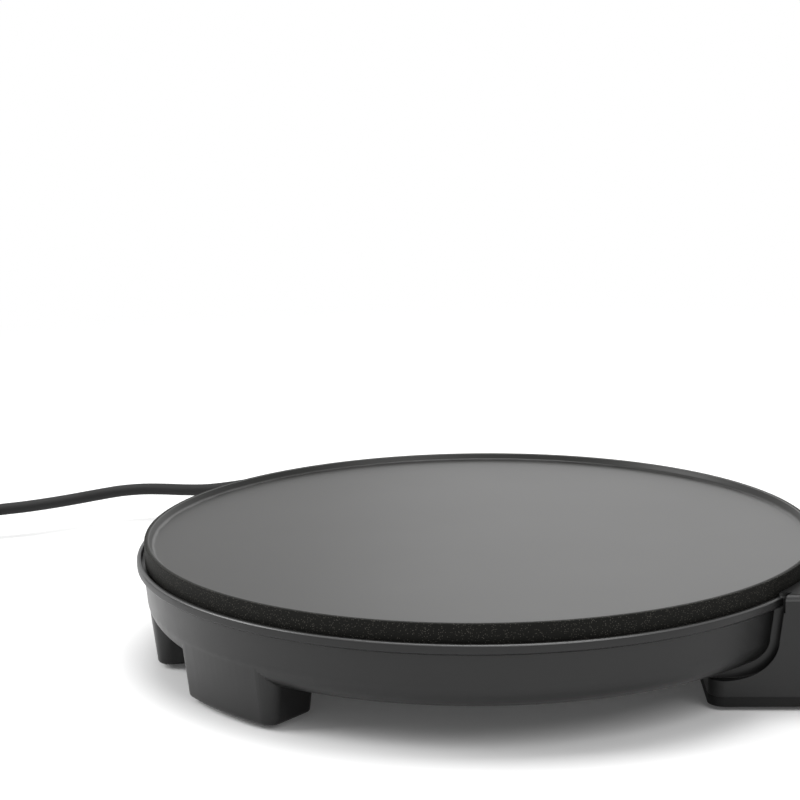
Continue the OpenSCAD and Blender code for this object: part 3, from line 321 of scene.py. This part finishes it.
floor = surface("floor", np.array(floor_corners, dtype=float))
paper = bpy.data.materials.new("white_paper_ground")
tree = empty_tree(paper)
seen = seen_rays(tree)
here = add(tree, "ShaderNodeTexCoord").outputs["Object"]
away = add(tree, "ShaderNodeVectorMath", {0: here}, operation="LENGTH")
fade = add(tree, "ShaderNodeMapRange", {
    "Value": away.outputs["Value"], "From Min": white_from, "From Max": white_past},
    interpolation_type="SMOOTHSTEP")
fade = add(tree, "ShaderNodeMath", {0: fade.outputs[0], 1: seen}, operation="MULTIPLY")
lift = add(tree, "ShaderNodeMath", {0: seen, 1: floor_glow}, operation="MULTIPLY")
pale = add(tree, "ShaderNodeBsdfDiffuse", {"Color": linear("#f2f2f2")})
faint = add(tree, "ShaderNodeEmission", {"Color": white, "Strength": lift.outputs[0]})
near = add(tree, "ShaderNodeAddShader", {0: pale.outputs[0], 1: faint.outputs[0]})
far = add(tree, "ShaderNodeEmission", {"Color": white, "Strength": 1.0})
pick = add(tree, "ShaderNodeMixShader", {
    0: fade.outputs[0], 1: near.outputs[0], 2: far.outputs[0]})
add(tree, "ShaderNodeOutputMaterial", {"Surface": pick.outputs[0]})
floor.data.materials.append(paper)
print("floor: white from", white_from, "to", white_past, "m out")

# %% [markdown]
# ## Sky and lamps
# Soft light comes from large sources. An even sky fills the shadows, and is plain white
# where it is seen. Four square lamps give the rest. The one overhead lights the plate
# and sets the shadow below the housing, the left one lights the dish wall on its side,
# the wide weak one behind draws a faint sheen across the plate, and the one at the front
# right keeps the housing's front from going black.

# %% Sky
sky_light = 0.42              # what the sky gives as light
sky_rest = 0.58               # what it has more where it is seen, 1 in all

world = bpy.data.worlds.new("studio")
bpy.context.scene.world = world
tree = empty_tree(world)
sky = add(tree, "ShaderNodeMath", {0: seen_rays(tree), 1: sky_rest, 2: sky_light},
          operation="MULTIPLY_ADD")
back = add(tree, "ShaderNodeBackground", {"Color": white, "Strength": sky.outputs[0]})
add(tree, "ShaderNodeOutputWorld", {"Surface": back.outputs[0]})
print("sky: light", sky_light, "seen", sky_light + sky_rest)


# %% Lamps
def lamp(name, where, aim, size, power):
    """A square area lamp at a point, aimed at another: its -Z looks along the line."""
    data = bpy.data.lights.new(name, "AREA")
    data.shape = "SQUARE"
    data.size = size
    data.energy = power
    made = bpy.data.objects.new(name, data)
    look = np.array(aim, float) - np.array(where, float)
    look /= np.linalg.norm(look)
    side = np.cross(look, [0.0, 0.0, 1.0])
    side /= np.linalg.norm(side)
    made.matrix_world = stand(side, np.cross(side, look), -look, where)
    bpy.context.scene.collection.objects.link(made)
    print("lamp", name, "at", where, "size", size, "m,", power, "W")


lamp("top", where=(0.0, 0.15, 2.0), aim=(0, 0.01, 0), size=1.2, power=27)
lamp("left", where=(-1.6, 0.0, 1.0), aim=(0, 0, 0), size=1.0, power=19)
lamp("back", where=(0.5, 2.0, 1.3), aim=(0, 0, 0), size=1.6, power=9)
lamp("front_right", where=(0.7, -1.0, 1.2), aim=(0.1, -0.1, 0), size=1.0, power=9)
bpy.context.scene.view_settings.view_transform = "Standard"

# %% [markdown]
# ## Softer edges on the solids
# The solids come as loose triangles with hard facets. The mould's polished steel leaves
# smooth curves with crisp corners between them. Shading could be set by hand on each
# mesh. Three modifiers do it for all and leave the meshes alone: a weld joins the
# triangles, a small geometry set-up shades every edge below an angle smooth and keeps
# the true corners, and weighted normals keep a large flat face even up to the rounds
# beside it.


# %% Smooth shading
def shade_group(angle):
    """Geometry nodes: all faces smooth, edges steeper than the angle sharp."""
    tree = bpy.data.node_groups.new("smooth_below_angle", "GeometryNodeTree")
    tree.interface.new_socket("Geometry", in_out="INPUT", socket_type="NodeSocketGeometry")
    tree.interface.new_socket("Geometry", in_out="OUTPUT", socket_type="NodeSocketGeometry")
    start = add(tree, "NodeGroupInput")
    bend = add(tree, "GeometryNodeInputMeshEdgeAngle")
    flat = add(tree, "FunctionNodeCompare", {0: bend.outputs["Unsigned Angle"], 1: angle},
               operation="LESS_EQUAL")
    soft = add(tree, "GeometryNodeSetShadeSmooth", {"Geometry": start.outputs[0]})
    edges = add(tree, "GeometryNodeSetShadeSmooth", {
        "Geometry": soft.outputs[0], "Shade Smooth": flat.outputs[0]}, domain="EDGE")
    add(tree, "NodeGroupOutput", {0: edges.outputs[0]})
    return tree


sharp_from = math.radians(38)
weld_gap = 2e-5
smooth = shade_group(sharp_from)
for solid in nodes.values():
    weld = solid.modifiers.new("weld", "WELD")
    weld.merge_threshold = weld_gap
    solid.modifiers.new("smooth", "NODES").node_group = smooth
    solid.modifiers.new("even", "WEIGHTED_NORMAL").keep_sharp = True
print("smoothed:", len(nodes), "solids, sharp from", round(math.degrees(sharp_from)), "degrees")

# %% [markdown]
# ## A start for every finish
# Most pieces here are moulded, cast, rolled or drawn, and handling has marked them a
# little. Pictures of such surfaces could be wrapped on, but they would need a layout for
# each piece. Noise worked out from the piece's own coordinates needs none, and it stays
# on the piece from every side. A mould's grain is a tenth or two of a millimetre, which
# is too fine to show from here, so it is drawn at 0.4 mm and more.


# %% Plain start and moulded surface
def finish_start(name, colour, roughness, metallic=0.0, **more):
    """A material with one shader on an output, and the object's coordinates."""
    made = bpy.data.materials.new(name)
    tree = empty_tree(made)
    links = {"Base Color": linear(colour), "Roughness": roughness, "Metallic": metallic}
    links.update(more)
    shader = add(tree, "ShaderNodeBsdfPrincipled", links)
    add(tree, "ShaderNodeOutputMaterial", {"Surface": shader.outputs[0]})
    coords = add(tree, "ShaderNodeTexCoord")
    return made, tree, shader, coords.outputs["Object"]


def moulded(name, colour, worn, roughness, grain_mm, depth_mm, patch_mm=45.0,
            edge_mm=0.0, **more):
    """A moulded or cast surface: a fine grain from the tool as bump, and wide faint
    patches where handling has left it a little lighter and smoother. edge_mm rounds
    the shading of its corners by that radius."""
    made, tree, shader, here = finish_start(name, colour, roughness, **more)
    grain = add(tree, "ShaderNodeTexNoise", {
        "Vector": here, "Scale": 1 / (grain_mm * MM), "Detail": 2.0, "Roughness": 0.6})
    bump = add(tree, "ShaderNodeBump", {
        "Strength": 1.0, "Distance": depth_mm * MM, "Height": grain.outputs["Fac"]})
    if edge_mm:
        round_edge = add(tree, "ShaderNodeBevel", {"Radius": edge_mm * MM}, samples=6)
        tree.links.new(round_edge.outputs[0], bump.inputs["Normal"])
    tree.links.new(bump.outputs[0], shader.inputs["Normal"])
    patch = add(tree, "ShaderNodeTexNoise", {
        "Vector": here, "Scale": 1 / (patch_mm * MM), "Detail": 4.0, "Roughness": 0.55})
    tone = add(tree, "ShaderNodeMix", {
        "Factor": patch.outputs["Fac"], COLOUR_A: linear(colour), COLOUR_B: linear(worn)},
        data_type="RGBA")
    tree.links.new(tone.outputs[2], shader.inputs["Base Color"])
    wear = 0.04               # how far handling moves the roughness either way
    sheen = add(tree, "ShaderNodeMapRange", {
        "Value": patch.outputs["Fac"], "From Min": 0.3, "From Max": 0.7,
        "To Min": roughness + wear, "To Max": roughness - wear})
    tree.links.new(sheen.outputs[0], shader.inputs["Roughness"])
    return made


def axis_radius(tree, here):
    """How far a point lies from the plate's axis: its coordinates from that axis, with
    the height struck out, and their length."""
    centred = add(tree, "ShaderNodeVectorMath", {0: here, 1: (-plate_x, 0, 0)},
                  operation="ADD")
    flat = add(tree, "ShaderNodeVectorMath", {0: centred.outputs[0], 1: (1, 1, 0)},
               operation="MULTIPLY")
    return add(tree, "ShaderNodeVectorMath", {0: flat.outputs[0]},
               operation="LENGTH").outputs["Value"]


# %% [markdown]
# ## The housing's plastic
# The housing is injection-moulded polypropylene, black, with a satin grain that spreads
# reflections into soft bands. Two places differ, and both carry painted light. On the
# control box's flat top, which is all that stands higher than the lip, the gloss is taken
# nearly away as painted shade, so that it stays dark beside the hot plate. On a thin ring
# at the lip's outer edge the gloss is raised, as a painted highlight line. Each could be a
# material of its own on picked faces, but the housing is one moulding, so one material is
# masked by height and by radius.

# %% Housing
lip_r = plate_r + 3.8 * MM    # the housing's lip round the plate
lip_z = 52.0 * MM             # its top


def housing_plastic():
    """Satin black plastic: its gloss falls to nearly none at the very top, as painted shade,
    and rises on a thin ring at the lip's outer edge, as a painted highlight."""
    satin, shade_gloss, highlight_gloss = 0.36, 0.02, 0.8
    made = moulded("satin_black_polypropylene", "#141414", "#181818", 0.36, 0.9, 0.01,
                   edge_mm=0.6, **{"Specular IOR Level": satin})
    tree = made.node_tree
    shader = tree.nodes["Principled BSDF"]
    here = add(tree, "ShaderNodeTexCoord").outputs["Object"]
    height = add(tree, "ShaderNodeSeparateXYZ", {0: here}).outputs["Z"]
    top = max(v.co.z for v in nodes["base_housing"].data.vertices)
    # Painted shade: nearly no gloss on the box's top, which lies in the plate's shade
    top_shade_mask = add(tree, "ShaderNodeMapRange", {
        "Value": height, "From Min": top - 0.5 * MM, "From Max": top - 0.1 * MM})
    gloss = add(tree, "ShaderNodeMix", {0: top_shade_mask.outputs[0], NUMBER_A: satin, NUMBER_B: shade_gloss})
    # Painted highlight: a ring of high gloss at the lip's outer edge throws a bright line
    outside = add(tree, "ShaderNodeMath", {0: axis_radius(tree, here), 1: lip_r - 0.9 * MM},
                  operation="GREATER_THAN")
    from_lip = add(tree, "ShaderNodeMath", {0: height, 1: lip_z}, operation="SUBTRACT")
    level_with = add(tree, "ShaderNodeMath", {
        0: from_lip.outputs[0], 1: -0.2 * MM, 2: 0.5 * MM}, operation="COMPARE")
    highlight_ring = add(tree, "ShaderNodeMath", {0: outside.outputs[0], 1: level_with.outputs[0]},
               operation="MULTIPLY")
    gloss = add(tree, "ShaderNodeMix", {
        0: highlight_ring.outputs[0], NUMBER_A: gloss.outputs[0], NUMBER_B: highlight_gloss})
    tree.links.new(gloss.outputs[0], shader.inputs["Specular IOR Level"])
    return made


# %% [markdown]
# ## The plate's coat
# The plate is cast aluminium with a sprayed non-stick coat. Where it cooks it is smooth
# and reflects the light softly. The rim's outer side is coarse and dull, and its glints
# are painted: pale flecks in its colour stand in for the light that its grains catch.
# Grains could be modelled, by the thousand. Small pale dots in the cells of a Voronoi
# pattern look the same from here, and the cells are 0.7 mm wide, as coarse as they need
# to be to show.


# %% Plate
def coated_casting():
    """Non-stick coat: everything that differs between the top and the rim's outer side
    is mixed by one mask, which rises from 0 to 1 over a millimetre just inside it."""
    dark, glint_colour = linear("#131311"), linear("#42403c")
    made, tree, shader, here = finish_start("nonstick_coated_casting", "#161614", 0.38)
    side = add(tree, "ShaderNodeMapRange", {
        "Value": axis_radius(tree, here), "From Min": plate_r - 2.2 * MM,
        "From Max": plate_r - 1.2 * MM}).outputs[0]

    # Painted glints: a pale dot in about half of the cells, on the rim's side only
    glint_cell, glint_size, glint_share = 0.7 * MM, 0.3, 0.5
    cells = add(tree, "ShaderNodeTexVoronoi", {"Vector": here, "Scale": 1 / glint_cell})
    glint_dots = add(tree, "ShaderNodeMath", {0: cells.outputs["Distance"], 1: glint_size},
               operation="LESS_THAN")
    chance = add(tree, "ShaderNodeSeparateColor", {0: cells.outputs["Color"]})
    chosen = add(tree, "ShaderNodeMath", {0: chance.outputs[0], 1: glint_share},
                 operation="GREATER_THAN")
    glint_dots = add(tree, "ShaderNodeMath", {0: glint_dots.outputs[0], 1: chosen.outputs[0]},
               operation="MULTIPLY")
    glint_dots = add(tree, "ShaderNodeMath", {0: glint_dots.outputs[0], 1: side}, operation="MULTIPLY")
    tone = add(tree, "ShaderNodeMix", {"Factor": glint_dots.outputs[0], COLOUR_A: dark,
                                       COLOUR_B: glint_colour}, data_type="RGBA")
    tree.links.new(tone.outputs[2], shader.inputs["Base Color"])

    # Roughness: wide faint patches on the top, even and high at the side
    patch = add(tree, "ShaderNodeTexNoise", {
        "Vector": here, "Scale": 1 / (60 * MM), "Detail": 3.0})
    smooth_part = add(tree, "ShaderNodeMapRange", {
        "Value": patch.outputs["Fac"], "From Min": 0.3, "From Max": 0.7,
        "To Min": 0.384, "To Max": 0.376})
    rough = add(tree, "ShaderNodeMix", {
        0: side, NUMBER_A: smooth_part.outputs[0], NUMBER_B: 0.65})
    tree.links.new(rough.outputs[0], shader.inputs["Roughness"])
    gloss = add(tree, "ShaderNodeMix", {0: side, NUMBER_A: 0.3, NUMBER_B: 0.1})
    tree.links.new(gloss.outputs[0], shader.inputs["Specular IOR Level"])

    # Grain: hardly any on the top, an eighth of a millimetre deep at the side
    grain = add(tree, "ShaderNodeTexNoise", {
        "Vector": here, "Scale": 1 / (0.9 * MM), "Detail": 2.0})
    depth = add(tree, "ShaderNodeMix", {0: side, NUMBER_A: 0.005 * MM, NUMBER_B: 0.12 * MM})
    bump = add(tree, "ShaderNodeBump", {"Distance": depth.outputs[0],
                                        "Height": grain.outputs["Fac"]})
    tree.links.new(bump.outputs[0], shader.inputs["Normal"])
    return made


# %% [markdown]
# ## The other finishes
# The rest are small pieces, and most of them sit inside the housing. Each still gets the
# finish of the real one, because any of them may be looked at alone. They differ in
# colour, roughness and grain but not in kind, so a table says what differs.

# %% Table of the plain finishes
# Each row: name, colour, worn colour, roughness, then the sizes of the grain, of its
# depth and of the worn patches in millimetres, and how much of a metal it is.
plain_finishes = {
    # Zinc plating is pale and a little blue, with a soft wide glint.
    "steel": ("zinc_plated_steel", "#b9bbbd", "#c6c8c9", 0.34, 0.5, 0.01, 8.0, 1.0),
    # Rolled sheet is brighter than plated steel, and mirrors its neighbours dimly.
    "shield_sheet": ("rolled_aluminium_sheet", "#c8c9ca", "#d2d3d4", 0.3, 0.8, 0.01,
                     20.0, 1.0),
    # Fired steatite is chalky and has no glint.
    "ceramic": ("unglazed_steatite", "#d8d2c2", "#e2dccd", 0.65, 0.5, 0.02, 6.0, 0.0),
    # Moulded rubber is the dullest of the blacks.
    "rubber": ("black_rubber", "#151515", "#1b1b1b", 0.75, 0.6, 0.04, 9.0, 0.0),
    # Moulded polyamide is a warm white with a soft shine.
    "white_plastic": ("white_polyamide", "#dddcd6", "#e6e5e0", 0.4, 0.5, 0.01, 9.0, 0.0),
    # Pressed phenolic resin is brown and faintly mottled.
    "thermostat_case": ("brown_phenolic", "#6d563c", "#77603f", 0.45, 0.5, 0.02, 9.0, 0.0),
    # Drawn copper is pink, with a close soft shine.
    "copper": ("drawn_copper", "#c07a52", "#cd8a62", 0.28, 0.4, 0.01, 6.0, 1.0),
    # Polished moulds give the two lamp lenses a clear highlight.
    "red_lens": ("red_polycarbonate", "#b3120e", "#bd1a14", 0.12, 2.0, 0.01, 45.0, 0.0),
    "green_lens": ("green_polycarbonate", "#1c7a2e", "#238a37", 0.12, 2.0, 0.01, 45.0, 0.0),
    # Blown glass has the sharpest highlight of all.
    "lamp_glass": ("lamp_glass", "#e0d5c8", "#e8dfd4", 0.08, 2.0, 0.005, 45.0, 0.0),
    # Machined brass is yellow, with a fine grain left by the tool.
    "brass": ("machined_brass", "#c9a35a", "#d2ae68", 0.3, 0.4, 0.01, 6.0, 1.0),
    # Nickel over brass is bright and faintly warm.
    "plated_brass": ("nickel_plated_brass", "#cfccc4", "#d8d5ce", 0.18, 0.4, 0.005, 6.0,
                     1.0),
    # A moulded nylon band is dull like the lead that it holds, and a shade lighter.
    "tie_band": ("black_nylon_band", "#1d1d1d", "#232323", 0.6, 0.6, 0.04, 8.0, 0.0),
    # Extruded wire jackets are evenly coloured, with a soft shine.
    "wire_brown": ("brown_wire", "#4e3524", "#573c29", 0.4, 0.5, 0.01, 9.0, 0.0),
    "wire_red": ("red_wire", "#8a2018", "#95281f", 0.4, 0.5, 0.01, 9.0, 0.0),
    "wire_blue": ("blue_wire", "#1f4b93", "#27549d", 0.4, 0.5, 0.01, 9.0, 0.0),
    "wire_green": ("green_wire", "#4f8f2a", "#5a9a33", 0.4, 0.5, 0.01, 9.0, 0.0),
}
print("plain finishes:", len(plain_finishes))

# %% Put each finish on its pieces
finishes = {
    "black_moulding": housing_plastic(),
    "nonstick_plate": coated_casting(),
    # The bottom cover, knob and cord clamp come from a matt mould, nearly without gloss.
    "dark_moulding": moulded("matt_black_polypropylene", "#080808", "#0c0c0c", 0.6,
                             0.9, 0.03, **{"Specular IOR Level": 0.25}),
    # The lead's jacket is extruded soft PVC, and its plug and strain relief are moulded
    # from it: black and matt, with a faint line of light.
    "cord_jacket": moulded("soft_pvc_jacket", "#0c0c0c", "#101010", 0.6, 0.8, 0.02,
                           25.0, **{"Specular IOR Level": 0.3}),
}
for slot, (*row, metallic) in plain_finishes.items():
    finishes[slot] = moulded(*row, metallic=metallic)
for part in frame["record"]["subparts"]:
    solid = nodes[part["node"]]
    solid.data.materials.clear()
    solid.data.materials.append(finishes[part["material_slot"]])
lead.data.materials.append(finishes["cord_jacket"])
print("finishes:", len(finishes))
